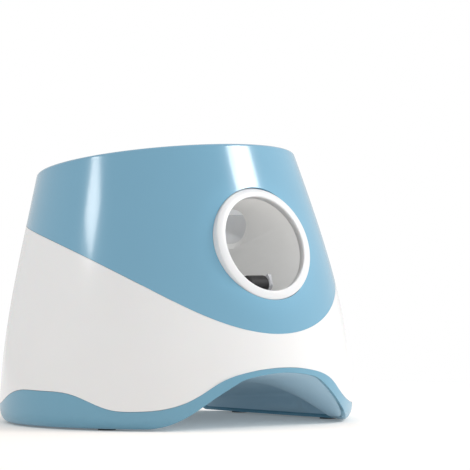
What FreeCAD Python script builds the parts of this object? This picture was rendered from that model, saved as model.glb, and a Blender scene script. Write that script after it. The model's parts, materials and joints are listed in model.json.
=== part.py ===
import FreeCAD, Part
import math
import os
from FreeCAD import Vector

# Automatic ball launcher for dogs. Millimetres, +Z up, the port faces -Y.
# The origin is on the floor under the middle of the body.
os.makedirs("parts", exist_ok=True)

# Body: a tub with an oval plan that narrows upwards and leans back a little
FLOOR_HALF_WIDTH = 159.0
PLAN_RATIO = 0.933
SIDE_FLARE = 0.0325
SIDE_CURVE = -0.00151
SIDE_EASE = 2.41e-6
LEAN_START = -0.0332
LEAN_CURVE = 0.000363
TUB_LOW = -6.0
TUB_HIGH = 262.0
TUB_STEPS = 8
WALL = 2.6
SHUT_LINE = 0.3
REACH = 220.0

# Sloping top rim
RIM_HEIGHT = 228.3
RIM_SLOPE = 0.1524
RIM_ROLL = 4.0
RIM_LEDGE = 11.0

# Height of the two colour joins along the depth of the body
DIVISION = [(-175, 42), (-143.2, 80), (-130.9, 91), (-101.6, 113.8), (-67, 134), (-31.8, 149),
            (20, 163.7), (54.3, 169.7), (175, 181)]
SEAM = [(-162, 66), (-147, 51.9), (-140, 44.3), (-132.9, 33.8), (-123.5, 23.2), (-112, 18), (-98, 16.5),
        (-84, 17), (-66, 23.2), (-50, 29.3), (-14, 32), (15, 31.6), (38, 26.5), (60, 19), (85, 16.5),
        (112, 21), (148, 31), (175, 32)]

# Base skirt and the arched tunnel under the body
BASE_LIFT = 1.5
ROLL_UNDER_HEIGHT = 14.0
ROLL_UNDER_INSET = 7.0
ROLL_STEPS = 5
SKIRT_WALL = 3.0
ARCH_FRONT = -170.0
ARCH_FRONT_HEIGHT = 49.6
ARCH_INNER = -92.0
ARCH_INNER_HEIGHT = 42.3
VAULT_START = -40.0
VAULT_HEIGHT = 36.5
ARCH_BACK = 134.0
ARCH_BACK_HEIGHT = 20.0
# Width from the middle and share of the height: the arch at the front, and the vault behind it
ARCH_FORM = [(0, 1.0), (20, 0.973), (33, 0.934), (43, 0.872), (50, 0.79), (60, 0.664),
             (70, 0.52), (80, 0.36), (90, 0.21), (100, 0.09), (110, 0.03), (116, 0.0)]
VAULT_FORM = [(0, 1.0), (22, 0.99), (40, 0.965), (55, 0.93), (66, 0.895), (76, 0.855),
              (86, 0.81), (94, 0.76), (101, 0.70), (106, 0.645), (109, 0.59), (110, 0.55)]
COVER_WALL = 3.0
POST_X = 123.0
POST_Y = 62.0
POST_RADIUS = 5.5
FOOT_RADIUS = 7.5
FOOT_SINK = 1.5

# Launch port and tube, measured from the middle of the lip along the bore
PORT_RADIUS = 42.0
PORT_Y = -122.4
PORT_Z = 156.7
PORT_TILT = 18.17
COLLAR_RADIUS = 50.0
COLLAR_DEPTH = 12.0
COLLAR_FALL = 2.0
TUBE_WALL = 2.5
TUBE_START = 6.1
TUBE_END = 150.0
SLOT_LEFT = -13.5
SLOT_RIGHT = 17.5
SLOT_START = 12.3
SLOT_END = 137.0
THROAT_Y = -40.0
THROAT_RADIUS = 36.0
THROAT_WALL = 2.5
THROAT_TOP = 181.0

# Deck that carries the works
DECK_LOW = 50.0
DECK_TOP = 52.5
DECK_EDGE_GAP = 3.5
SEAT = 0.1

# Kicker: pivot measured in the tube, then the arm
PIVOT_BACK = 72.0
PIVOT_BELOW = 74.0
ARM_REST = 46.5
ARM_REACH = 65.0
SHAFT_RADIUS = 4.0
PAD_RADIUS = 8.0

# Gear train
PRESSURE_ANGLE = math.radians(20)
TOOTH_PLAY = 0.16
TIP_HEIGHT = 0.85
ROOT_DEPTH = 1.25
FLANK_STEPS = 3
CENTRE_EASE = 0.1
KICKER_TEETH = 20
SECTOR_TEETH = 40
SECTOR_KEPT = 7
SECTOR_MODULE = 1.5
STAGE_TEETH = 50
STAGE_PINION_TEETH = 12
STAGE_MODULE = 1.0
FAST_TEETH = 48
MOTOR_TEETH = 10
FAST_MODULE = 0.8
TO_SECTOR = 17.0
TO_IDLER = 29.0
TO_MOTOR = -30.0
INNER_PLATE_X = 45.0
OUTER_PLATE_X = 72.0
PLATE_THICK = 2.5


def box(x0, x1, y0, y1, z0, z1):
    return Part.makeBox(x1 - x0, y1 - y0, z1 - z0, Vector(x0, y0, z0))


def rod_x(radius, x0, x1, y, z):
    return Part.makeCylinder(radius, x1 - x0, Vector(x0, y, z), Vector(1, 0, 0))


def rod_y(radius, y0, y1, x, z):
    return Part.makeCylinder(radius, y1 - y0, Vector(x, y0, z), Vector(0, 1, 0))


def rod_z(radius, z0, z1, x, y):
    return Part.makeCylinder(radius, z1 - z0, Vector(x, y, z0), Vector(0, 0, 1))


def side_prism(points, x0, x1):
    corners = [Vector(x0, y, z) for y, z in points]
    wire = Part.makePolygon(corners + corners[:1])
    return Part.Face(wire).extrude(Vector(x1 - x0, 0, 0))


def joined(shapes):
    return shapes[0].multiFuse(shapes[1:]).removeSplitter()


def group(shapes):
    return Part.makeCompound(shapes)


def outward(solid):
    if solid.Volume < 0:
        solid.reverse()
    return solid


def half_width(z):
    return FLOOR_HALF_WIDTH + SIDE_FLARE * z + SIDE_CURVE * z ** 2 + SIDE_EASE * z ** 3


def centre_y(z):
    return LEAN_START * z + LEAN_CURVE * z ** 2


def plan_wire(z, inset, at_height=None):
    middle = Vector(0, centre_y(z), z if at_height is None else at_height)
    oval = Part.Ellipse(middle, half_width(z) - inset, PLAN_RATIO * half_width(z) - inset)
    return Part.Wire([oval.toShape()])


def tub(inset):
    step = (TUB_HIGH - TUB_LOW) / TUB_STEPS
    wires = [plan_wire(TUB_LOW + step * k, inset) for k in range(TUB_STEPS + 1)]
    return Part.makeLoft(wires, True, False)


def rolled_tub(inset, rise):
    wires = []
    for k in range(ROLL_STEPS + 1):
        share = k / ROLL_STEPS
        z = BASE_LIFT + ROLL_UNDER_HEIGHT * share
        roll = ROLL_UNDER_INSET * (1 - math.sqrt(1 - (1 - share) ** 2))
        wires.append(plan_wire(z, inset + roll, z + rise))
    for z in (30.0, 50.0, 75.0):
        wires.append(plan_wire(z, inset, z + rise))
    return Part.makeLoft(wires, True, False)


def back_surface_y(x, z, inset):
    wide = half_width(z) - inset
    deep = PLAN_RATIO * half_width(z) - inset
    return centre_y(z) + deep * math.sqrt(1 - (x / wide) ** 2)


def below(points, shift):
    curve = Part.BSplineCurve()
    curve.interpolate([Vector(-REACH, y, z + shift) for y, z in points])
    start = Vector(-REACH, points[0][0], points[0][1] + shift)
    end = Vector(-REACH, points[-1][0], points[-1][1] + shift)
    low_end = Vector(-REACH, points[-1][0], -40)
    low_start = Vector(-REACH, points[0][0], -40)
    edges = [curve.toShape(), Part.makeLine(end, low_end)]
    edges += [Part.makeLine(low_end, low_start), Part.makeLine(low_start, start)]
    return Part.Face(Part.Wire(edges)).extrude(Vector(2 * REACH, 0, 0))


def rim_z(y, drop=0.0):
    return RIM_HEIGHT - RIM_SLOPE * y - drop


def above_rim(drop):
    corners = [(-REACH, rim_z(-REACH, drop)), (REACH, rim_z(REACH, drop)), (REACH, 400), (-REACH, 400)]
    return side_prism(corners, -REACH, REACH)


def rim_edge_point(side, inset):
    y = 100.0 * side
    for _ in range(20):
        z = rim_z(y)
        y = centre_y(z) + side * (PLAN_RATIO * half_width(z) - inset)
    return Vector(0, y, rim_z(y))


RIM_NORMAL = Vector(0, RIM_SLOPE, 1).normalize()


def rim_wire(inset, drop):
    front = rim_edge_point(-1, inset)
    back = rim_edge_point(1, inset)
    middle = (front + back) * 0.5
    lowered = middle - RIM_NORMAL * drop
    wide = Vector(half_width(middle.z) - inset, 0, 0)
    oval = Part.Ellipse(lowered + wide, lowered + (back - front) * 0.5, lowered)
    return Part.Wire([oval.toShape()])


def rim_slab(inset, top_drop, thick):
    return Part.Face(rim_wire(inset, top_drop)).extrude(RIM_NORMAL * -thick)


PORT_PLACE = FreeCAD.Placement(Vector(0, PORT_Y, PORT_Z), FreeCAD.Rotation(Vector(1, 0, 0), 90 - PORT_TILT))
OUTWARD = PORT_PLACE.Rotation.multVec(Vector(0, 0, 1))
ACROSS_UP = PORT_PLACE.Rotation.multVec(Vector(0, 1, 0))


def in_port(shape):
    placed = shape.copy()
    placed.Placement = PORT_PLACE.multiply(placed.Placement)
    return placed


def bore(radius, start, end):
    return in_port(Part.makeCylinder(radius, end - start, Vector(0, 0, -end), Vector(0, 0, 1)))


def tube_point(back, up):
    return Vector(0, PORT_Y, PORT_Z) - OUTWARD * back + ACROSS_UP * up


PIVOT = tube_point(PIVOT_BACK, -PIVOT_BELOW)
ARM_LEAN = math.radians(ARM_REST - PORT_TILT)


def arm_point(out, ahead):
    y = PIVOT.y - out * math.sin(ARM_LEAN) - ahead * math.cos(ARM_LEAN)
    z = PIVOT.z + out * math.cos(ARM_LEAN) - ahead * math.sin(ARM_LEAN)
    return (y, z)


def polar(centre, distance, degrees):
    turn = math.radians(degrees)
    return (centre[0] + distance * math.cos(turn), centre[1] + distance * math.sin(turn))


KICKER_AXIS = (PIVOT.y, PIVOT.z)
SECTOR_GAP = SECTOR_MODULE * (KICKER_TEETH + SECTOR_TEETH) / 2 + CENTRE_EASE
SECTOR_AXIS = polar(KICKER_AXIS, SECTOR_GAP, TO_SECTOR)
IDLER_GAP = STAGE_MODULE * (STAGE_TEETH + STAGE_PINION_TEETH) / 2 + CENTRE_EASE
IDLER_AXIS = polar(SECTOR_AXIS, IDLER_GAP, TO_IDLER)
MOTOR_GAP = FAST_MODULE * (FAST_TEETH + MOTOR_TEETH) / 2 + CENTRE_EASE
MOTOR_AXIS = polar(IDLER_AXIS, MOTOR_GAP, TO_MOTOR)


def involute(angle):
    return math.tan(angle) - angle


def half_tooth(radius, teeth, module):
    pitch = teeth * module / 2
    grip = math.acos(min(1.0, pitch * math.cos(PRESSURE_ANGLE) / radius))
    thick = math.pi / (2 * teeth) - TOOTH_PLAY / (2 * pitch)
    return thick + involute(PRESSURE_ANGLE) - involute(grip)


def gear(teeth, module, centre, first_tooth, x0, x1, kept=None):
    pitch = teeth * module / 2
    root = pitch - ROOT_DEPTH * module
    tip = pitch + TIP_HEIGHT * module
    start = max(root, pitch * math.cos(PRESSURE_ANGLE))
    radii = [start + (tip - start) * j / FLANK_STEPS for j in range(FLANK_STEPS + 1)]
    outline = []
    for k in range(teeth):
        middle = math.radians(first_tooth) + 2 * math.pi * k / teeth
        if kept is not None and k >= kept:
            outline.append((middle - math.pi / (2 * teeth), root))
            outline.append((middle + math.pi / (2 * teeth), root))
            continue
        if start > root:
            outline.append((middle - half_tooth(start, teeth, module), root))
        outline += [(middle - half_tooth(r, teeth, module), r) for r in radii]
        outline += [(middle + half_tooth(r, teeth, module), r) for r in reversed(radii)]
        if start > root:
            outline.append((middle + half_tooth(start, teeth, module), root))
    points = [(centre[0] + r * math.cos(a), centre[1] + r * math.sin(a)) for a, r in outline]
    return side_prism(points, x0, x1)


def mirrored_four(x, y):
    return [(sx * x, sy * y) for sx in (-1, 1) for sy in (-1, 1)]


def make_upper_shell():
    outer = tub(0).cut(above_rim(0))
    top = max(outer.Faces, key=lambda face: face.CenterOfMass.z)
    outer = outer.makeFillet(RIM_ROLL, top.Edges)
    cavity = tub(WALL).cut(above_rim(WALL))
    shell = outer.cut(cavity)
    shell = shell.cut(rim_slab(RIM_LEDGE, -10, 25))
    shell = shell.cut(below(DIVISION, SHUT_LINE / 2))
    return shell.cut(bore(COLLAR_RADIUS + SHUT_LINE, -20, 50))


WINDOW = (-34, 34, 62, 100)


def back_block(margin):
    x0, x1, z0, z1 = WINDOW
    return box(x0 - margin, x1 + margin, 90, 180, z0 - margin, z1 + margin)


def make_lower_shell():
    ring = tub(0).cut(tub(WALL))
    ring = ring.common(below(DIVISION, -SHUT_LINE / 2))
    ring = ring.cut(below(SEAM, SHUT_LINE / 2))
    return ring.cut(back_block(0))


def arch_wire(y, height, form, lift):
    """Section of the space under the body, grown by lift sideways and upwards."""
    spread = 1 + lift / form[-1][0]
    right = [Vector(x * spread, y, height * share + lift) for x, share in form]
    left = [Vector(-point.x, y, point.z) for point in right[:0:-1]]
    curve = Part.BSplineCurve()
    curve.interpolate(left + right)
    right_foot = Vector(right[-1].x + 1, y, -2)
    left_foot = Vector(-right_foot.x, y, -2)
    edges = [curve.toShape(), Part.makeLine(right[-1], right_foot)]
    edges += [Part.makeLine(right_foot, left_foot), Part.makeLine(left_foot, left[0])]
    return Part.Wire(edges)


def arch(lift):
    wires = [arch_wire(ARCH_FRONT, ARCH_FRONT_HEIGHT, ARCH_FORM, lift)]
    wires.append(arch_wire(ARCH_INNER, ARCH_INNER_HEIGHT, ARCH_FORM, lift))
    wires.append(arch_wire(VAULT_START, VAULT_HEIGHT, VAULT_FORM, lift))
    wires.append(arch_wire(ARCH_BACK + lift, ARCH_BACK_HEIGHT, VAULT_FORM, lift))
    return Part.makeLoft(wires, True, True)


def make_base_frame():
    body = rolled_tub(0, 0).common(below(SEAM, -SHUT_LINE / 2))
    body = body.cut(rolled_tub(SKIRT_WALL, SKIRT_WALL))
    body = body.cut(arch(0))
    shelf_top = BASE_LIFT + SKIRT_WALL
    posts = [rod_z(POST_RADIUS, shelf_top - 1, DECK_LOW, x, y) for x, y in mirrored_four(POST_X, POST_Y)]
    body = joined([body] + posts)
    for x, y in mirrored_four(POST_X, POST_Y):
        body = body.cut(rod_z(FOOT_RADIUS + SEAT, 0, BASE_LIFT + FOOT_SINK, x, y))
        body = body.cut(rod_z(1.5, DECK_LOW - 14, DECK_LOW + 1, x, y))
    return body


def make_rubber_feet():
    return group([rod_z(FOOT_RADIUS, 0, BASE_LIFT + FOOT_SINK, x, y) for x, y in mirrored_four(POST_X, POST_Y)])


COVER_BOSS_X = 70.0
COVER_BOSS_Y = 60.0
COVER_SHELF = 40.0


def make_underside_cover():
    low = BASE_LIFT + SKIRT_WALL + SEAT
    room = rolled_tub(SKIRT_WALL + SHUT_LINE, SKIRT_WALL).common(box(-REACH, REACH, -REACH, REACH, low, DECK_LOW))
    parts = [arch(COVER_WALL).cut(arch(0))]
    for side in (-1, 1):
        edge = sorted((side * 98, side * 127))
        parts.append(box(edge[0], edge[1], -46, 46, low, low + COVER_WALL).cut(arch(0)))
    for x, y in mirrored_four(COVER_BOSS_X, COVER_BOSS_Y):
        parts.append(rod_z(7.5, low, DECK_LOW, x, y).cut(arch(0)))
    cover = joined(parts).common(room)
    for x, y in mirrored_four(COVER_BOSS_X, COVER_BOSS_Y):
        cover = cover.cut(rod_z(4.6, 0, COVER_SHELF, x, y))
        cover = cover.cut(rod_z(1.7, COVER_SHELF - 1, DECK_LOW + 1, x, y))
    return cover


def screw_up(x, y, z, length):
    head = rod_z(3.4, z - 2.4, z, x, y)
    shank = rod_z(1.48, z - 0.5, z + length, x, y)
    return head.fuse(shank).cut(rod_z(1.6, z - 3, z - 1.2, x, y))


def make_cover_screws():
    length = DECK_TOP - COVER_SHELF - 0.2
    return group([screw_up(x, y, COVER_SHELF - 0.05, length) for x, y in mirrored_four(COVER_BOSS_X, COVER_BOSS_Y)])


def screw_down(x, y, z, length):
    head = rod_z(3.4, z, z + 2.4, x, y)
    shank = rod_z(1.48, z - length, z + 0.5, x, y)
    return head.fuse(shank).cut(rod_z(1.6, z + 1.2, z + 3, x, y))


STOP_Y = -104.0


def make_chassis_deck():
    middle = (DECK_LOW + DECK_TOP) / 2
    plate = Part.Face(plan_wire(middle, SKIRT_WALL + DECK_EDGE_GAP, DECK_LOW)).extrude(Vector(0, 0, DECK_TOP - DECK_LOW))
    parts = [plate]
    parts.append(box(3, 23, STOP_Y - 8, STOP_Y, DECK_TOP - 1, 95))
    parts += [rod_z(3.2, DECK_TOP - 1, DECK_TOP + 5.5, x, y) for x, y in BOARD_POSTS]
    deck = joined(parts)
    deck = deck.cut(box(INNER_PLATE_X + 3.5, 64.5, -97, -8, DECK_LOW - 1, DECK_TOP + 1))
    for x, y in mirrored_four(POST_X, POST_Y):
        deck = deck.cut(rod_z(1.7, DECK_LOW - 1, DECK_TOP + 1, x, y))
    for x, y in mirrored_four(COVER_BOSS_X, COVER_BOSS_Y):
        deck = deck.cut(rod_z(1.5, DECK_LOW - 1, DECK_TOP + 1, x, y))
    for x, y in LEG_SCREWS:
        deck = deck.cut(rod_z(1.5, DECK_LOW - 1, DECK_TOP + 1, x, y))
    for x, y in BOARD_POSTS:
        deck = deck.cut(rod_z(1.3, DECK_TOP, DECK_TOP + 6, x, y))
    return deck


def make_deck_screws():
    return group([screw_down(x, y, DECK_TOP + 0.05, 13) for x, y in mirrored_four(POST_X, POST_Y)])


def make_port_ring():
    lip = Part.Arc(Vector(PORT_RADIUS, 0, -1), Vector(PORT_RADIUS + 0.2, 0, -0.3), Vector(PORT_RADIUS + 0.8, 0, 0))
    edge_start = Vector(COLLAR_RADIUS - 0.8, 0, 0.6 - COLLAR_FALL)
    edge_middle = Vector(COLLAR_RADIUS - 0.2, 0, -COLLAR_FALL)
    edge_end = Vector(COLLAR_RADIUS, 0, -1 - COLLAR_FALL)
    edges = [lip.toShape(), Part.makeLine(Vector(PORT_RADIUS + 0.8, 0, 0), edge_start)]
    edges.append(Part.Arc(edge_start, edge_middle, edge_end).toShape())
    socket = PORT_RADIUS + TUBE_WALL + SEAT
    corners = [edge_end, Vector(COLLAR_RADIUS, 0, -COLLAR_DEPTH)]
    corners += [Vector(socket, 0, -COLLAR_DEPTH), Vector(socket, 0, -TUBE_START + SEAT)]
    corners += [Vector(PORT_RADIUS, 0, -TUBE_START + SEAT), Vector(PORT_RADIUS, 0, -1)]
    edges += [Part.makeLine(a, b) for a, b in zip(corners, corners[1:])]
    profile = Part.Face(Part.Wire(edges))
    return in_port(profile.revolve(Vector(0, 0, 0), Vector(0, 0, 1), 360))


LEG_IN = 30.0
LEG_OUT = 33.5
LEG_FOOT = 42.0
FRONT_LEG = (-106, -92)
REAR_LEG = (-6, 8)
LEG_SCREWS = [(side * 38, (leg[0] + leg[1]) / 2) for side in (-1, 1) for leg in (FRONT_LEG, REAR_LEG)]


def make_launch_tube():
    parts = [bore(PORT_RADIUS + TUBE_WALL, TUBE_START, TUBE_END)]
    for side in (-1, 1):
        for y0, y1 in (FRONT_LEG, REAR_LEG):
            xs = sorted((side * LEG_IN, side * LEG_OUT))
            feet = sorted((side * LEG_IN, side * LEG_FOOT))
            parts.append(box(xs[0], xs[1], y0, y1, DECK_TOP + SEAT, 118))
            parts.append(box(feet[0], feet[1], y0, y1, DECK_TOP + SEAT, DECK_TOP + 3))
    tube = joined(parts)
    tube = tube.cut(bore(PORT_RADIUS, 0, TUBE_END + 10))
    slot = Part.makeBox(SLOT_RIGHT - SLOT_LEFT, 40, SLOT_END - SLOT_START, Vector(SLOT_LEFT, -60, -SLOT_END))
    tube = tube.cut(in_port(slot))
    tube = tube.cut(rod_z(THROAT_RADIUS, 132, 220, 0, THROAT_Y))
    tube = tube.cut(rod_x(SENSOR_EYE + SEAT, -60, 60, SENSOR_POINT.y, SENSOR_POINT.z))
    for x, y in LEG_SCREWS:
        tube = tube.cut(rod_z(1.7, DECK_TOP - 1, DECK_TOP + 4, x, y))
    return tube


def make_tube_screws():
    return group([screw_down(x, y, DECK_TOP + 3.05, 5.3) for x, y in LEG_SCREWS])


def make_tube_end_cap():
    disc = bore(PORT_RADIUS + TUBE_WALL, TUBE_END + SEAT, TUBE_END + 2.6)
    spigot = bore(PORT_RADIUS - SEAT, TUBE_END - 4, TUBE_END + 1)
    hollow = bore(PORT_RADIUS - 2.5, TUBE_END - 5, TUBE_END)
    return disc.fuse(spigot).cut(hollow).removeSplitter()


SENSOR_POINT = tube_point(104.0, -5.0)
SENSOR_EYE = 2.5


def make_ball_sensors():
    sensors = []
    for side in (-1, 1):
        eye = sorted((side * 42.6, side * 46))
        case = sorted((side * 44.7, side * 50))
        lens = rod_x(SENSOR_EYE, eye[0], eye[1], SENSOR_POINT.y, SENSOR_POINT.z)
        y, z = SENSOR_POINT.y, SENSOR_POINT.z
        sensors.append(lens.fuse(box(case[0], case[1], y - 4, y + 4, z - 5, z + 5)).removeSplitter())
    return group(sensors)


FUNNEL_RINGS = (0.0, 0.3, 0.65, 1.0)


def funnel_solid(inset):
    top_front = rim_edge_point(-1, RIM_LEDGE)
    top_back = rim_edge_point(1, RIM_LEDGE)
    top = (top_front + top_back) * 0.5 - RIM_NORMAL * (WALL + SHUT_LINE)
    deep_top = (top_back - top_front).Length / 2 - inset
    wide_top = half_width(top.z) - RIM_LEDGE - inset
    narrow = THROAT_RADIUS + THROAT_WALL - inset
    wires = []
    for share in FUNNEL_RINGS:
        y = THROAT_Y + (top.y - THROAT_Y) * share
        z = THROAT_TOP + (top.z - THROAT_TOP) * share ** 1.5
        middle = Vector(0, y, z)
        wide = narrow + (wide_top - narrow) * share
        deep = narrow + (deep_top - narrow) * share - 0.02
        lean = Vector(0, 1, -RIM_SLOPE * share).normalize()
        oval = Part.Ellipse(middle + Vector(wide, 0, 0), middle + lean * deep, middle)
        wires.append(Part.Wire([oval.toShape()]))
    return outward(Part.makeLoft(wires, True, False))


def make_hopper_funnel():
    under = WALL + SHUT_LINE
    ledge = outward(rim_slab(WALL + 1.2, under, 2.0))
    bowl = funnel_solid(0).cut(funnel_solid(THROAT_WALL))
    bowl = bowl.fuse(ledge.cut(funnel_solid(0)))
    return bowl.cut(bore(PORT_RADIUS + TUBE_WALL + SHUT_LINE, -10, TUBE_END + 10))


def make_drop_chute():
    chute = rod_z(THROAT_RADIUS + THROAT_WALL, 128, THROAT_TOP - SEAT, 0, THROAT_Y)
    chute = chute.cut(rod_z(THROAT_RADIUS, 100, THROAT_TOP + 1, 0, THROAT_Y))
    return chute.cut(bore(PORT_RADIUS + TUBE_WALL + SEAT, -10, TUBE_END + 10))


def make_kicker_arm():
    hub = rod_x(9, 8, 18, *KICKER_AXIS)
    blade_points = [(-2, -8.6), (40, -5), (64, -6), (75, -1), (68, 6), (40, 5), (-2, 8.6)]
    blade = side_prism([arm_point(out, ahead) for out, ahead in blade_points], 11, 15)
    core = rod_x(3, -8.5, 12, *arm_point(ARM_REACH, 0))
    arm = joined([hub, blade, core])
    return arm.cut(rod_x(SHAFT_RADIUS + 0.02, 0, 30, *KICKER_AXIS))


def make_kicker_pad():
    pad = rod_x(PAD_RADIUS, -10.5, 10.9, *arm_point(ARM_REACH, 0))
    pad = pad.makeFillet(2.5, [edge for edge in pad.Edges if edge.Closed])
    return pad.cut(rod_x(3.02, -8.6, 20, *arm_point(ARM_REACH, 0)))


def make_kicker_shaft():
    return rod_x(SHAFT_RADIUS, -33, 76, *KICKER_AXIS)


def make_kicker_spring():
    pitch = 4.9
    turns = 6.5
    radius = 7.5
    helix = Part.makeHelix(pitch, pitch * turns, radius)
    wire = Part.Wire(helix.Edges)
    profile = Part.Wire([Part.Circle(Vector(radius, 0, 0), Vector(0, 1, 0), 0.9).toShape()])
    coil = wire.makePipeShell([profile], True, True)
    coil.Placement = FreeCAD.Placement(Vector(-24.95, PIVOT.y, PIVOT.z), FreeCAD.Rotation(Vector(0, 1, 0), 90))
    return coil


def make_bearing_bracket():
    y, z = KICKER_AXIS
    plate = box(-31, -26, y - 13, y + 15, DECK_TOP + SEAT, z + 4)
    foot = box(-50, -26, y - 13, y + 15, DECK_TOP + SEAT, DECK_TOP + 2.6)
    bracket = joined([plate, rod_x(12, -31, -26, y, z), foot])
    bracket = bracket.common(box(-60, 0, -200, 200, DECK_TOP + SEAT, 200))
    return bracket.cut(rod_x(SHAFT_RADIUS + 0.05, -40, 0, y, z))


def make_arm_bumper():
    low = arm_point(21, 6.95)
    high = arm_point(34, 5.85)
    face = STOP_Y + 0.05
    return side_prism([low, high, (face, high[1]), (face, low[1])], 8, 18)


GEAR_X = 50.0


def make_kicker_gear():
    teeth = gear(KICKER_TEETH, SECTOR_MODULE, KICKER_AXIS, TO_SECTOR, GEAR_X, GEAR_X + 7)
    hub = rod_x(8, GEAR_X - 1.8, GEAR_X + 12, *KICKER_AXIS)
    return joined([teeth, hub]).cut(rod_x(SHAFT_RADIUS + 0.02, 40, 80, *KICKER_AXIS))


def make_sector_gear():
    pitch = 360 / SECTOR_TEETH
    first = TO_SECTOR + 180 + pitch / 2 - pitch * (SECTOR_KEPT - 1)
    sector = gear(SECTOR_TEETH, SECTOR_MODULE, SECTOR_AXIS, first, GEAR_X, GEAR_X + 7, SECTOR_KEPT)
    stage = gear(STAGE_TEETH, STAGE_MODULE, SECTOR_AXIS, TO_IDLER, GEAR_X + 7, GEAR_X + 13)
    hub = rod_x(6, GEAR_X - 1.8, GEAR_X + 14, *SECTOR_AXIS)
    return joined([sector, stage, hub]).cut(rod_x(3.02, 40, 80, *SECTOR_AXIS))


def make_idler_gear():
    facing = TO_IDLER + 180 + 180 / STAGE_PINION_TEETH
    small = gear(STAGE_PINION_TEETH, STAGE_MODULE, IDLER_AXIS, facing, GEAR_X + 7.5, GEAR_X + 14.5)
    large = gear(FAST_TEETH, FAST_MODULE, IDLER_AXIS, TO_MOTOR, GEAR_X + 14.5, GEAR_X + 19.5)
    return joined([small, large]).cut(rod_x(2.52, 40, 80, *IDLER_AXIS))


def make_motor_pinion():
    facing = TO_MOTOR + 180 + 180 / MOTOR_TEETH
    teeth = gear(MOTOR_TEETH, FAST_MODULE, MOTOR_AXIS, facing, GEAR_X + 14.5, GEAR_X + 21)
    return teeth.cut(rod_x(1.2, 40, 90, *MOTOR_AXIS))


def make_motor_shaft():
    return rod_x(1.18, GEAR_X + 15, OUTER_PLATE_X + PLATE_THICK + 12, *MOTOR_AXIS)


def make_drive_motor():
    start = OUTER_PLATE_X + PLATE_THICK + SEAT
    can = rod_x(18, start, start + 46, *MOTOR_AXIS)
    nose = rod_x(5, start - 2.4, start + 1, *MOTOR_AXIS)
    tail = rod_x(9, start + 45, start + 50, *MOTOR_AXIS)
    motor = joined([can.makeFillet(1.5, [can.Edges[0]]), nose, tail])
    return motor.cut(rod_x(1.24, start - 5, start + 13, *MOTOR_AXIS))


PLATE_OUTLINE = [(-98, DECK_TOP + SEAT), (34, DECK_TOP + SEAT), (34, 114), (-68, 114), (-98, 96)]
COLUMNS = [(-90, 90), (-60, 107), (26, 107), (26, 60)]


def plate_with_bores(x, motor_hole):
    plate = side_prism(PLATE_OUTLINE, x, x + PLATE_THICK)
    plate = plate.cut(rod_x(SHAFT_RADIUS + 0.05, x - 1, x + 9, *KICKER_AXIS))
    plate = plate.cut(rod_x(3.05, x - 1, x + 9, *SECTOR_AXIS))
    plate = plate.cut(rod_x(2.55, x - 1, x + 9, *IDLER_AXIS))
    return plate.cut(rod_x(motor_hole, x - 1, x + 9, *MOTOR_AXIS))


def make_gearbox_inner_plate():
    plate = plate_with_bores(INNER_PLATE_X, 6)
    reach = OUTER_PLATE_X - SEAT
    columns = [rod_x(4, INNER_PLATE_X + 1, reach, y, z) for y, z in COLUMNS]
    plate = joined([plate] + columns)
    for y, z in COLUMNS:
        plate = plate.cut(rod_x(1.5, OUTER_PLATE_X - 9, OUTER_PLATE_X + 1, y, z))
    return plate


def make_gearbox_outer_plate():
    plate = plate_with_bores(OUTER_PLATE_X, 5.05)
    x = OUTER_PLATE_X + PLATE_THICK
    feet = [box(x - 1, x + 10, y, y + 16, DECK_TOP + SEAT, DECK_TOP + 2.6) for y in (-92, -60)]
    plate = joined([plate] + feet)
    for y, z in COLUMNS:
        plate = plate.cut(rod_x(1.6, OUTER_PLATE_X - 1, OUTER_PLATE_X + 9, y, z))
    return plate


def make_gearbox_screws():
    screws = []
    x = OUTER_PLATE_X + PLATE_THICK
    for y, z in COLUMNS:
        head = rod_x(3, x + 0.05, x + 2.2, y, z)
        shank = rod_x(1.48, x - 10, x + 1, y, z)
        screws.append(head.fuse(shank).cut(rod_x(1.4, x + 1.2, x + 3, y, z)))
    return group(screws)


BUTTON_Z = 80.0
POWER_X = -20.0
DISTANCE_X = -2.0
JACK_X = 19.0
BUTTON_RADIUS = 5.5
BOARD_Y = 126.0


def make_control_panel():
    inside = WALL + SEAT + 2.0
    plate = tub(0).cut(tub(inside)).common(back_block(-SHUT_LINE))
    flange = tub(WALL + SEAT).cut(tub(inside)).common(back_block(4))
    posts = [rod_y(2.2, BOARD_Y + 1.7, 142, x, z) for x in (-29, 29) for z in (68, 94)]
    ends = tub(WALL + 1)
    panel = joined([plate, flange] + [post.common(ends) for post in posts])
    for x in (POWER_X, DISTANCE_X):
        panel = panel.cut(rod_y(BUTTON_RADIUS + 0.3, 100, 170, x, BUTTON_Z))
    return panel.cut(rod_y(5.2, 100, 170, JACK_X, BUTTON_Z))


def button(x):
    face = back_surface_y(x, BUTTON_Z, 0)
    inner = back_surface_y(x, BUTTON_Z, WALL + SEAT + 2.0)
    cap = rod_y(BUTTON_RADIUS, inner - 2.5, face + 1.6, x, BUTTON_Z)
    rear = min(cap.Edges, key=lambda edge: -edge.CenterOfMass.y)
    cap = cap.makeFillet(0.8, [rear])
    collar = rod_y(BUTTON_RADIUS + 1.5, inner - 3.6, inner - 1.4, x, BUTTON_Z)
    stem = rod_y(2.0, BOARD_Y + 7.0, inner - 2.5, x, BUTTON_Z)
    return joined([cap, collar, stem])


def make_button_board():
    board = box(-32, 32, BOARD_Y, BOARD_Y + 1.6, 65, 97)
    parts = [board]
    for x in (POWER_X, DISTANCE_X):
        parts.append(box(x - 3, x + 3, BOARD_Y + 1.5, BOARD_Y + 4.9, BUTTON_Z - 3, BUTTON_Z + 3))
    return joined(parts)


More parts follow.
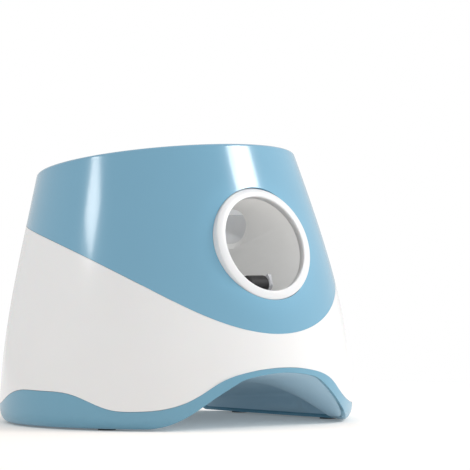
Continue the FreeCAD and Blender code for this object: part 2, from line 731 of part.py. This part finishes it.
def make_dc_jack():
    face = back_surface_y(JACK_X, BUTTON_Z, 0)
    case = box(JACK_X - 5, JACK_X + 5, BOARD_Y + 1.7, BOARD_Y + 9, BUTTON_Z - 5.5, BUTTON_Z + 5.5)
    barrel = rod_y(5, BOARD_Y + 5, face - 0.4, JACK_X, BUTTON_Z)
    jack = joined([case, barrel]).cut(rod_y(3.2, BOARD_Y + 4, 160, JACK_X, BUTTON_Z))
    pin = rod_y(1.0, BOARD_Y + 3.5, face - 2, JACK_X, BUTTON_Z)
    return joined([jack, pin])


BOARD_POSTS = [(x, y) for x in (-108, -58) for y in (28, 72)]


def make_control_board():
    board = box(-113, -53, 23, 77, DECK_TOP + 5.6, DECK_TOP + 7.2)
    for x, y in BOARD_POSTS:
        board = board.cut(rod_z(1.5, DECK_TOP, DECK_TOP + 9, x, y))
    return board


def make_board_components():
    z = DECK_TOP + 7.25
    chips = [box(-92, -78, 44, 58, z, z + 2), box(-72, -64, 34, 46, z, z + 2.5)]
    chips += [rod_z(4, z, z + 12, -98, 66), rod_z(4, z, z + 12, -88, 66)]
    chips += [box(-110, -104, 40, 58, z, z + 7), box(-76, -60, 64, 71, z, z + 7)]
    chips.append(rod_z(6, z, z + 8, -97, 36))
    return group(chips)


TRAY = (-133, -62, -45, 3)
CELL_RADIUS = 11.0


def make_battery_tray():
    x0, x1, y0, y1 = TRAY
    outer = box(x0, x1, y0, y1, DECK_TOP + SEAT, 80)
    return outer.cut(box(x0 + 2, x1 - 2, y0 + 2, y1 - 2, DECK_TOP + 2, 90))


def make_battery_cells():
    cells = []
    x0, x1, y0, y1 = TRAY
    for layer in range(2):
        for column in range(3):
            x = (x0 + x1) / 2 + (column - 1) * (2 * CELL_RADIUS + 0.3)
            z = DECK_TOP + 2.1 + CELL_RADIUS + layer * (2 * CELL_RADIUS + 0.1)
            cell = rod_y(CELL_RADIUS, y0 + 2.3, y1 - 3.3, x, z)
            cells.append(cell.fuse(rod_y(3, y1 - 3.4, y1 - 2.3, x, z)).removeSplitter())
    return group(cells)


def make_battery_strap():
    x0, x1, y0, y1 = TRAY
    top = DECK_TOP + 2.1 + 4 * CELL_RADIUS + 0.1
    outer = box(x0 - 1.1, x1 + 1.1, -28, -14, 66, top + 1.3)
    inner = box(x0 - 0.1, x1 + 0.1, -29, -13, 60, top + 0.1)
    return outer.cut(inner)


def make_sector_shaft():
    return rod_x(3, INNER_PLATE_X - 0.2, OUTER_PLATE_X + PLATE_THICK + 1.5, *SECTOR_AXIS)


def make_idler_shaft():
    return rod_x(2.5, INNER_PLATE_X - 0.2, OUTER_PLATE_X + PLATE_THICK + 1.5, *IDLER_AXIS)


MAKERS = {
    "upper_shell": make_upper_shell,
    "lower_shell": make_lower_shell,
    "base_frame": make_base_frame,
    "rubber_feet": make_rubber_feet,
    "underside_cover": make_underside_cover,
    "cover_screws": make_cover_screws,
    "chassis_deck": make_chassis_deck,
    "deck_screws": make_deck_screws,
    "port_ring": make_port_ring,
    "launch_tube": make_launch_tube,
    "tube_screws": make_tube_screws,
    "tube_end_cap": make_tube_end_cap,
    "ball_sensors": make_ball_sensors,
    "hopper_funnel": make_hopper_funnel,
    "drop_chute": make_drop_chute,
    "kicker_arm": make_kicker_arm,
    "kicker_pad": make_kicker_pad,
    "kicker_shaft": make_kicker_shaft,
    "kicker_spring": make_kicker_spring,
    "bearing_bracket": make_bearing_bracket,
    "arm_bumper": make_arm_bumper,
    "kicker_gear": make_kicker_gear,
    "sector_gear": make_sector_gear,
    "sector_shaft": make_sector_shaft,
    "idler_gear": make_idler_gear,
    "idler_shaft": make_idler_shaft,
    "motor_pinion": make_motor_pinion,
    "motor_shaft": make_motor_shaft,
    "drive_motor": make_drive_motor,
    "gearbox_inner_plate": make_gearbox_inner_plate,
    "gearbox_outer_plate": make_gearbox_outer_plate,
    "gearbox_screws": make_gearbox_screws,
    "control_panel": make_control_panel,
    "power_button": lambda: button(POWER_X),
    "distance_button": lambda: button(DISTANCE_X),
    "button_board": make_button_board,
    "dc_jack": make_dc_jack,
    "control_board": make_control_board,
    "board_components": make_board_components,
    "battery_tray": make_battery_tray,
    "battery_cells": make_battery_cells,
    "battery_strap": make_battery_strap,
}

for name, make in MAKERS.items():
    shape = make()
    shape.exportStep("parts/" + name + ".step")
    print(name, len(shape.Solids), shape.isValid(), round(shape.Volume / 1000, 2))
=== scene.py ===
"""Automatic dog ball launcher on a pale studio floor. Metres, +Z up, the port faces -Y."""
import json
import math

import bmesh
import bpy
import numpy as np
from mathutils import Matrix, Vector

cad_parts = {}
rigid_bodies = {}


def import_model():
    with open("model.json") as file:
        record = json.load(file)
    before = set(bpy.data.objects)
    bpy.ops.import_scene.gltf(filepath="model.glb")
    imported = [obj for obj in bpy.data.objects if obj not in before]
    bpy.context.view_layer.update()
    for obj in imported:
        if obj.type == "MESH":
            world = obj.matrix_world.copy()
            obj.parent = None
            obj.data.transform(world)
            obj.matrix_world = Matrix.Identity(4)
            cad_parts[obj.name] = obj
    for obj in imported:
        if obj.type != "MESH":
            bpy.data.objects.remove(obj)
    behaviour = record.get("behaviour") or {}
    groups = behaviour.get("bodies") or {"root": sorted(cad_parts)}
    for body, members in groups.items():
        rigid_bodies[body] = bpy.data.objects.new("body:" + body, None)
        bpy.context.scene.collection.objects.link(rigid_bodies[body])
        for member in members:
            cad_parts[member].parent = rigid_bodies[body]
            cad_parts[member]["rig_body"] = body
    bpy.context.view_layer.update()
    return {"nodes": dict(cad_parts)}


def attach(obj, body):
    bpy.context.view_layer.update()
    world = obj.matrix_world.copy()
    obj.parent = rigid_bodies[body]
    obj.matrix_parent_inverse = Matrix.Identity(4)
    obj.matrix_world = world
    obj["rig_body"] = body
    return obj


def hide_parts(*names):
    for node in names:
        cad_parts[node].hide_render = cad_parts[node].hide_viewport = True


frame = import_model()
nodes = frame["nodes"]

# Body form, as in the construction: an oval tub that narrows upwards
FLOOR_HALF_WIDTH = 159.0
PLAN_RATIO = 0.933
SHELL_WALL = 2.6

# Shading copies: how near a point and a face must be to the tub to take its exact normals
SURFACE_REACH = 0.45
FACING_AGREEMENT = 0.96
WELD_DISTANCE = 2e-6

# Camera set from the outline, rim, port and floor line
CAMERA_TURN = math.radians(-38.106)
CAMERA_DISTANCE = 2.6425
CAMERA_HEIGHT = 0.165
AIM_RIGHT = 0.05154
AIM_HEIGHT = 0.16362
CAMERA_LENS = 229.46
SENSOR_WIDTH = 36.0
NEAR_CLIP = 0.05

# Floor, surround and lamps: places in metres, softboxes by the spot on the shell that mirrors them
FLOOR_HALF_SIDE = 9
FLOOR_COLOUR = (0.95, 0.90, 0.86, 1)
FLOOR_LIFT = 0.12
FADE_START = 0.30
FADE_END = 0.75
WHITE = (1, 1, 1, 1)
SURROUND_LEVEL = 0.73
BEHIND_LEVEL = 1.0
LEFT_SPOT = (-0.118, -0.036, 0.193)
LEFT_DIRECTION = (-0.84, 0.205, 0.50)
RIGHT_SPOT = (-0.006, -0.099, 0.222)
RIGHT_DIRECTION = (0.565, -0.60, 0.565)
FILL_SPOT = (0.05, -0.06, 0.15)
FILL_DIRECTION = (0.90, -0.38, 0.30)
PORT_MOUTH = (0.0, -0.122, 0.157)
PORT_LAMP_DIRECTION = (-0.30, -0.92, 0.27)
PORT_LAMP_DISTANCE = 1.6
PORT_LAMP_ENERGY = 85.0
PORT_LAMP_CONE = 2.5


def half_width(z):
    """Half the width of the body at a height, in millimetres."""
    return FLOOR_HALF_WIDTH + 0.0325 * z - 0.00151 * z ** 2 + 2.41e-6 * z ** 3


def half_width_slope(z):
    return 0.0325 - 0.00302 * z + 7.23e-6 * z ** 2


def centre_y(z):
    return -0.0332 * z + 0.000363 * z ** 2


def centre_y_slope(z):
    return -0.0332 + 0.000726 * z


def tub_normals(points, inset):
    """Outward normals of the oval tub and how far in millimetres each point lies from it."""
    x, y, z = points.T * 1000
    wide = half_width(z) - inset
    deep = PLAN_RATIO * half_width(z) - inset
    across = x / wide
    along = (y - centre_y(z)) / deep
    ratio = np.sqrt(across ** 2 + along ** 2)
    slope = half_width_slope(z)
    lean = along * centre_y_slope(z) / deep
    rise = -(across ** 2 / wide + PLAN_RATIO * along ** 2 / deep) * slope - lean
    normal = np.stack([across / wide, along / deep, rise], 1)
    normal /= np.linalg.norm(normal, axis=1)[:, None]
    return normal, (ratio - 1) * np.minimum(wide, deep)


def smooth_surface(node, edge_angle, tub_walls=()):
    """A copy of a part with clean soft shading. Walls that follow the tub take its exact normals."""
    source = nodes[node]
    mesh = source.data.copy()
    mesh.name = node + "_surface"
    piece = bpy.data.objects.new(node + "_surface", mesh)
    bpy.context.scene.collection.objects.link(piece)
    form = bmesh.new()
    form.from_mesh(mesh)
    bmesh.ops.remove_doubles(form, verts=form.verts, dist=WELD_DISTANCE)
    form.to_mesh(mesh)
    form.free()
    mesh.polygons.foreach_set("use_smooth", [True] * len(mesh.polygons))
    mesh.set_sharp_from_angle(angle=math.radians(edge_angle))
    if tub_walls:
        points = np.zeros(len(mesh.vertices) * 3)
        mesh.vertices.foreach_get("co", points)
        points = points.reshape(-1, 3)
        corner_vertex = np.zeros(len(mesh.loops), int)
        mesh.loops.foreach_get("vertex_index", corner_vertex)
        shading = np.zeros(len(mesh.loops) * 3)
        mesh.corner_normals.foreach_get("vector", shading)
        shading = shading.reshape(-1, 3)
        flat = np.zeros(len(mesh.polygons) * 3)
        mesh.polygons.foreach_get("normal", flat)
        counts = np.zeros(len(mesh.polygons), int)
        mesh.polygons.foreach_get("loop_total", counts)
        flat = np.repeat(flat.reshape(-1, 3), counts, axis=0)
        for inset, facing in tub_walls:
            normal, away = tub_normals(points, inset)
            normal = normal[corner_vertex] * facing
            near = np.abs(away[corner_vertex]) < SURFACE_REACH
            agree = (normal * flat).sum(1) > FACING_AGREEMENT
            take = near & agree
            shading[take] = normal[take]
        mesh.normals_split_custom_set([tuple(v) for v in shading])
    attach(piece, source["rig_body"])
    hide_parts(node)
    return piece


def new_material(name):
    material = bpy.data.materials.new(name)
    material.use_nodes = True
    material.node_tree.nodes.clear()
    return material, material.node_tree


def moulded_plastic(name, colour, roughness, coat=0.0, grain=0.0, grain_size=900.0, glow=0.0):
    """Moulded plastic: slight cloudiness in tone and gloss, and a fine grain if it is not polished."""
    material, tree = new_material(name)
    make = tree.nodes.new
    place = make("ShaderNodeTexCoord")
    cloud = make("ShaderNodeTexNoise")
    cloud.inputs["Scale"].default_value = 14.0
    cloud.inputs["Detail"].default_value = 3.0
    tone = make("ShaderNodeMix")
    tone.data_type = "RGBA"
    tone.inputs["A"].default_value = (*[c * 0.975 for c in colour], 1)
    tone.inputs["B"].default_value = (*[min(1, c * 1.02) for c in colour], 1)
    gloss = make("ShaderNodeMapRange")
    gloss.inputs["To Min"].default_value = roughness * 0.9
    gloss.inputs["To Max"].default_value = roughness * 1.12
    skin = make("ShaderNodeBsdfPrincipled")
    skin.inputs["Coat Weight"].default_value = coat
    skin.inputs["Coat Roughness"].default_value = 0.1
    skin.inputs["Subsurface Weight"].default_value = glow
    skin.inputs["Subsurface Scale"].default_value = 0.004
    end = make("ShaderNodeOutputMaterial")
    link = tree.links.new
    link(place.outputs["Object"], cloud.inputs["Vector"])
    link(cloud.outputs["Fac"], tone.inputs["Factor"])
    link(cloud.outputs["Fac"], gloss.inputs["Value"])
    link(tone.outputs["Result"], skin.inputs["Base Color"])
    link(gloss.outputs["Result"], skin.inputs["Roughness"])
    if grain:
        fine = make("ShaderNodeTexNoise")
        fine.inputs["Scale"].default_value = grain_size
        fine.inputs["Detail"].default_value = 2.0
        relief = make("ShaderNodeBump")
        relief.inputs["Strength"].default_value = grain
        relief.inputs["Distance"].default_value = 0.0002
        link(place.outputs["Object"], fine.inputs["Vector"])
        link(fine.outputs["Fac"], relief.inputs["Height"])
        link(relief.outputs["Normal"], skin.inputs["Normal"])
    link(skin.outputs["BSDF"], end.inputs["Surface"])
    return material


def turned_metal(name, colour, roughness, streak_scale=(40.0, 900.0, 900.0)):
    """Drawn or turned steel with fine streaks along its length."""
    material, tree = new_material(name)
    make = tree.nodes.new
    place = make("ShaderNodeTexCoord")
    stretch = make("ShaderNodeMapping")
    stretch.inputs["Scale"].default_value = streak_scale
    streak = make("ShaderNodeTexNoise")
    streak.inputs["Scale"].default_value = 1.0
    gloss = make("ShaderNodeMapRange")
    gloss.inputs["To Min"].default_value = roughness * 0.75
    gloss.inputs["To Max"].default_value = roughness * 1.3
    skin = make("ShaderNodeBsdfPrincipled")
    skin.inputs["Base Color"].default_value = (*colour, 1)
    skin.inputs["Metallic"].default_value = 1.0
    end = make("ShaderNodeOutputMaterial")
    link = tree.links.new
    link(place.outputs["Object"], stretch.inputs["Vector"])
    link(stretch.outputs["Vector"], streak.inputs["Vector"])
    link(streak.outputs["Fac"], gloss.inputs["Value"])
    link(gloss.outputs["Result"], skin.inputs["Roughness"])
    link(skin.outputs["BSDF"], end.inputs["Surface"])
    return material


shell_blue = moulded_plastic("sky blue shell plastic", (0.165, 0.375, 0.52), 0.2, coat=0.5)
# Painted light: the underside cover is the same sky blue plastic as the base, painted paler and greyer to stand in
# for light under the arch.
painted_light_cover_blue = moulded_plastic("sky blue cover plastic paled with painted arch light", (0.42, 0.61, 0.74), 0.45, grain=0.1)
base_blue = moulded_plastic("sky blue base plastic", (0.15, 0.345, 0.47), 0.3, coat=0.15)
shell_white = moulded_plastic("white shell plastic", (0.80, 0.80, 0.80), 0.22, coat=0.4, glow=0.05)
collar_white = moulded_plastic("white collar plastic", (0.68, 0.69, 0.70), 0.35, coat=0.15, glow=0.05)
tube_white = moulded_plastic("pale tube plastic", (0.84, 0.84, 0.83), 0.45, grain=0.1)
works_grey = moulded_plastic("grey works plastic", (0.36, 0.37, 0.39), 0.45, grain=0.25)
lever_grey = moulded_plastic("grey lever plastic", (0.42, 0.43, 0.45), 0.4, grain=0.2)
panel_grey = moulded_plastic("grey panel plastic", (0.30, 0.31, 0.33), 0.35, grain=0.2)
works_dark = moulded_plastic("dark works plastic", (0.02, 0.02, 0.022), 0.4, grain=0.2)
pad_rubber = moulded_plastic("black pad rubber", (0.012, 0.012, 0.013), 0.55, grain=0.4, grain_size=1400.0)
foot_rubber = moulded_plastic("grey foot rubber", (0.10, 0.105, 0.11), 0.6, grain=0.4, grain_size=1400.0)
gear_nylon = moulded_plastic("milky gear nylon", (0.76, 0.73, 0.64), 0.4, grain=0.1, glow=0.2)
board_green = moulded_plastic("green circuit board", (0.012, 0.085, 0.035), 0.35, coat=0.3)
cell_green = moulded_plastic("green cell sleeve", (0.02, 0.17, 0.09), 0.3, coat=0.2)
plain_steel = turned_metal("drawn steel", (0.60, 0.60, 0.61), 0.28)
motor_steel = turned_metal("plated motor steel", (0.52, 0.53, 0.55), 0.34)

SURFACES = {
    "upper_shell": (shell_blue, 35), "lower_shell": (shell_white, 35), "base_frame": (base_blue, 40),
    "underside_cover": (painted_light_cover_blue, 30), "rubber_feet": (foot_rubber, 40), "cover_screws": (plain_steel, 35),
    "chassis_deck": (works_grey, 35), "deck_screws": (plain_steel, 35), "port_ring": (collar_white, 40),
    "launch_tube": (tube_white, 35), "tube_screws": (plain_steel, 35), "tube_end_cap": (tube_white, 35),
    "ball_sensors": (works_dark, 35), "hopper_funnel": (collar_white, 40), "drop_chute": (collar_white, 35),
    "kicker_arm": (lever_grey, 35), "kicker_pad": (pad_rubber, 45), "kicker_shaft": (plain_steel, 35),
    "kicker_spring": (plain_steel, 50), "bearing_bracket": (works_grey, 35), "arm_bumper": (pad_rubber, 35),
    "kicker_gear": (gear_nylon, 30), "sector_gear": (gear_nylon, 30), "sector_shaft": (plain_steel, 35),
    "idler_gear": (gear_nylon, 30), "idler_shaft": (plain_steel, 35), "motor_pinion": (gear_nylon, 30),
    "motor_shaft": (plain_steel, 35), "drive_motor": (motor_steel, 35), "gearbox_inner_plate": (works_grey, 35),
    "gearbox_outer_plate": (works_grey, 35), "gearbox_screws": (plain_steel, 35), "control_panel": (panel_grey, 35),
    "power_button": (collar_white, 40), "distance_button": (shell_blue, 40), "button_board": (board_green, 35),
    "dc_jack": (works_dark, 35), "control_board": (board_green, 35), "board_components": (works_dark, 35),
    "battery_tray": (works_grey, 35), "battery_cells": (cell_green, 35), "battery_strap": (works_dark, 35),
}
TUB_WALLS = {
    "upper_shell": [(0, 1), (SHELL_WALL, -1)], "lower_shell": [(0, 1), (SHELL_WALL, -1)],
    "base_frame": [(0, 1)], "control_panel": [(0, 1)],
}

for node, (material, edge_angle) in SURFACES.items():
    piece = smooth_surface(node, edge_angle, TUB_WALLS.get(node, ()))
    piece.data.materials.clear()
    piece.data.materials.append(material)


def flat_square(name, half_side):
    mesh = bpy.data.meshes.new(name)
    corners = [(x * half_side, y * half_side, 0) for x, y in ((-1, -1), (1, -1), (1, 1), (-1, 1))]
    mesh.from_pydata(corners, [], [(0, 1, 2, 3)])
    square = bpy.data.objects.new(name, mesh)
    bpy.context.scene.collection.objects.link(square)
    return square


def pale_floor():
    """Matt white floor that fades to plain white away from the object."""
    floor = flat_square("studio_floor", FLOOR_HALF_SIDE)
    material, tree = new_material("white studio floor")
    make = tree.nodes.new
    matt = make("ShaderNodeBsdfDiffuse")
    matt.inputs["Color"].default_value = FLOOR_COLOUR
    lift = make("ShaderNodeEmission")
    lift.inputs["Strength"].default_value = FLOOR_LIFT
    both = make("ShaderNodeAddShader")
    plain = make("ShaderNodeEmission")
    plain.inputs["Strength"].default_value = BEHIND_LEVEL
    place = make("ShaderNodeTexCoord")
    away = make("ShaderNodeVectorMath")
    away.operation = "LENGTH"
    fade = make("ShaderNodeMapRange")
    fade.interpolation_type = "SMOOTHSTEP"
    fade.inputs["From Min"].default_value = FADE_START
    fade.inputs["From Max"].default_value = FADE_END
    mix = make("ShaderNodeMixShader")
    end = make("ShaderNodeOutputMaterial")
    link = tree.links.new
    link(place.outputs["Object"], away.inputs[0])
    link(away.outputs["Value"], fade.inputs["Value"])
    link(fade.outputs["Result"], mix.inputs["Fac"])
    link(matt.outputs["BSDF"], both.inputs[0])
    link(lift.outputs["Emission"], both.inputs[1])
    link(both.outputs["Shader"], mix.inputs[1])
    link(plain.outputs["Emission"], mix.inputs[2])
    link(mix.outputs["Shader"], end.inputs["Surface"])
    floor.data.materials.append(material)


def studio_surround():
    """An even pale surround that lights the object, with plain white behind it for the camera."""
    world = bpy.data.worlds.new("studio_surround")
    bpy.context.scene.world = world
    world.use_nodes = True
    tree = world.node_tree
    tree.nodes.clear()
    seen = tree.nodes.new("ShaderNodeLightPath")
    around = tree.nodes.new("ShaderNodeBackground")
    around.inputs["Color"].default_value = WHITE
    around.inputs["Strength"].default_value = SURROUND_LEVEL
    behind = tree.nodes.new("ShaderNodeBackground")
    behind.inputs["Color"].default_value = WHITE
    behind.inputs["Strength"].default_value = BEHIND_LEVEL
    pick = tree.nodes.new("ShaderNodeMixShader")
    end = tree.nodes.new("ShaderNodeOutputWorld")
    tree.links.new(seen.outputs["Is Camera Ray"], pick.inputs["Fac"])
    tree.links.new(around.outputs["Background"], pick.inputs[1])
    tree.links.new(behind.outputs["Background"], pick.inputs[2])
    tree.links.new(pick.outputs["Shader"], end.inputs["Surface"])


def softbox(name, spot, direction, distance, width, height, radiance, turn=0.0):
    """A rectangular softbox, seen from the spot in the given direction."""
    lamp = bpy.data.lights.new(name, "AREA")
    lamp.shape = "RECTANGLE"
    lamp.size = width
    lamp.size_y = height
    lamp.energy = math.pi * width * height * radiance
    holder = bpy.data.objects.new(name, lamp)
    bpy.context.scene.collection.objects.link(holder)
    toward = Vector(direction).normalized()
    holder.location = Vector(spot) + toward * distance
    aim = toward.to_track_quat("Z", "Y")
    holder.rotation_euler = aim.to_euler()
    holder.rotation_euler.rotate_axis("Z", math.radians(turn))
    return holder


def port_lamp():
    """A narrow lamp that reaches only the mouth of the launch tube."""
    lamp = bpy.data.lights.new("port_lamp", "SPOT")
    lamp.energy = PORT_LAMP_ENERGY
    lamp.shadow_soft_size = 0.04
    lamp.spot_size = math.radians(PORT_LAMP_CONE)
    lamp.spot_blend = 0.4
    holder = bpy.data.objects.new("port_lamp", lamp)
    bpy.context.scene.collection.objects.link(holder)
    toward = Vector(PORT_LAMP_DIRECTION).normalized()
    holder.location = Vector(PORT_MOUTH) + toward * PORT_LAMP_DISTANCE
    holder.rotation_euler = toward.to_track_quat("Z", "Y").to_euler()
    holder.visible_glossy = False


pale_floor()
studio_surround()
softbox("left_softbox", LEFT_SPOT, LEFT_DIRECTION, 1.6, 0.32, 0.24, 11.0, turn=-15)
softbox("right_softbox", RIGHT_SPOT, RIGHT_DIRECTION, 2.0, 0.70, 0.34, 15.0)
right_fill = softbox("right_fill", FILL_SPOT, FILL_DIRECTION, 2.4, 2.0, 2.0, 2.3)
right_fill.visible_glossy = False
port_lamp()


def photo_camera():
    sine = math.sin(CAMERA_TURN)
    cosine = math.cos(CAMERA_TURN)
    place = Vector((sine * CAMERA_DISTANCE, -cosine * CAMERA_DISTANCE, CAMERA_HEIGHT))
    aim = Vector((cosine * AIM_RIGHT, sine * AIM_RIGHT, AIM_HEIGHT))
    lens = bpy.data.cameras.new("photo_camera")
    lens.lens = CAMERA_LENS
    lens.sensor_width = SENSOR_WIDTH
    lens.clip_start = NEAR_CLIP
    holder = bpy.data.objects.new("photo_camera", lens)
    bpy.context.scene.collection.objects.link(holder)
    holder.location = place
    holder.rotation_euler = (aim - place).to_track_quat("-Z", "Y").to_euler()
    bpy.context.scene.camera = holder


photo_camera()
bpy.context.scene.view_settings.view_transform = "Standard"
